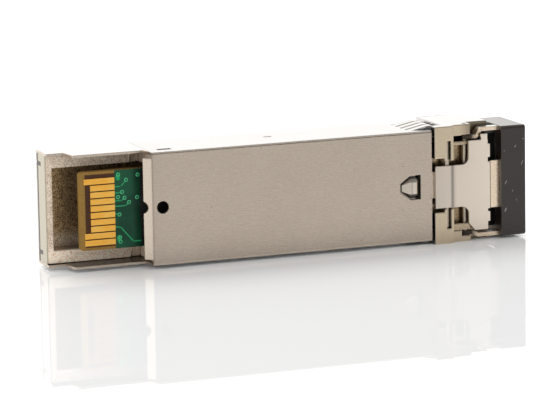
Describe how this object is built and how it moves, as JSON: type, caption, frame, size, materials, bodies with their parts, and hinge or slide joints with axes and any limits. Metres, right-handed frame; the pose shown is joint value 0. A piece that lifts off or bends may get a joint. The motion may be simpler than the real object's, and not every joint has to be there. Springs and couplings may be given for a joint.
{
  "type": "pluggable optical transceiver",
  "caption": "Small pluggable duplex optical transceiver in a nickel-plated case, with an edge-contact board at the rear, a latch rocker and a black pull-down bail handle.",
  "frame": {"origin": "middle of the bounding box on the surface the module stands on", "axes": "+X from the host plug end to the fibre ports, -Y the side with the latch, +Z across the width, up as in the picture"},
  "size_m": [0.0588, 0.0094, 0.0142],
  "materials": {
    "zinc_casting": "nickel-plated zinc die casting with a fine grainy skin",
    "nickel_sheet": "nickel-plated sheet steel, satin",
    "spring_sheet": "nickel-plated spring sheet, bright satin",
    "latch_steel": "nickel-plated stamped steel, satin",
    "pin_steel": "drawn stainless pin, smooth",
    "spring_wire": "drawn spring wire",
    "handle_moulding": "black moulded nylon, matte",
    "port_moulding": "black moulded polymer, fine texture",
    "turned_steel": "turned stainless, fine rings",
    "clamp_sheet": "stamped stainless sheet",
    "board_laminate": "glass-epoxy laminate with green solder mask",
    "contact_gold": "hard gold plating, satin",
    "flex_film": "amber polyimide film",
    "chip_epoxy": "black moulding compound",
    "gap_pad": "soft grey-blue silicone gap pad",
    "capacitor_ceramic": "tan ceramic with tinned ends",
    "inductor_body": "dark ferrite with tinned ends",
    "label_film": "blank white film label"
  },
  "bodies": {
    "module": {"die_cast_housing": "zinc_casting", "bottom_cover": "nickel_sheet", "emi_spring_collar": "spring_sheet", "rocker_pin": "pin_steel", "latch_spring": "spring_wire", "bail_shaft": "pin_steel", "fibre_port_block": "port_moulding", "transmit_subassembly": "turned_steel", "receive_subassembly": "turned_steel", "subassembly_clamp": "clamp_sheet", "circuit_board": "board_laminate", "bottom_edge_contacts": "contact_gold", "top_edge_contacts": "contact_gold", "transmit_flex_circuit": "flex_film", "receive_flex_circuit": "flex_film", "laser_driver_chip": "chip_epoxy", "receive_amplifier_chip": "chip_epoxy", "controller_chip": "chip_epoxy", "memory_chip": "chip_epoxy", "thermal_pad": "gap_pad", "chip_capacitors": "capacitor_ceramic", "filter_inductors": "inductor_body", "blank_label": "label_film"},
    "rocker": {"latch_rocker": "latch_steel"},
    "bail": {"bail_bracket": "latch_steel", "bail_handle": "handle_moulding"}
  },
  "joints": [
    {"name": "bail_swing", "type": "hinge", "parent": "module", "child": "bail", "pos_m": [0.02187, -0.00328, 0.0071], "axis": [0, 0, 1], "range_deg": [-90, 0]},
    {"name": "rocker_tilt", "type": "hinge", "parent": "module", "child": "rocker", "pos_m": [0.01932, -0.00378, 0.0071], "axis": [0, 0, 1], "range_deg": [-6.5, 0], "deforming": ["latch_spring"]}
  ],
  "couplings": [
    {"joint": "rocker_tilt", "follows": "bail_swing", "ratio": 0.0722}
  ]
}
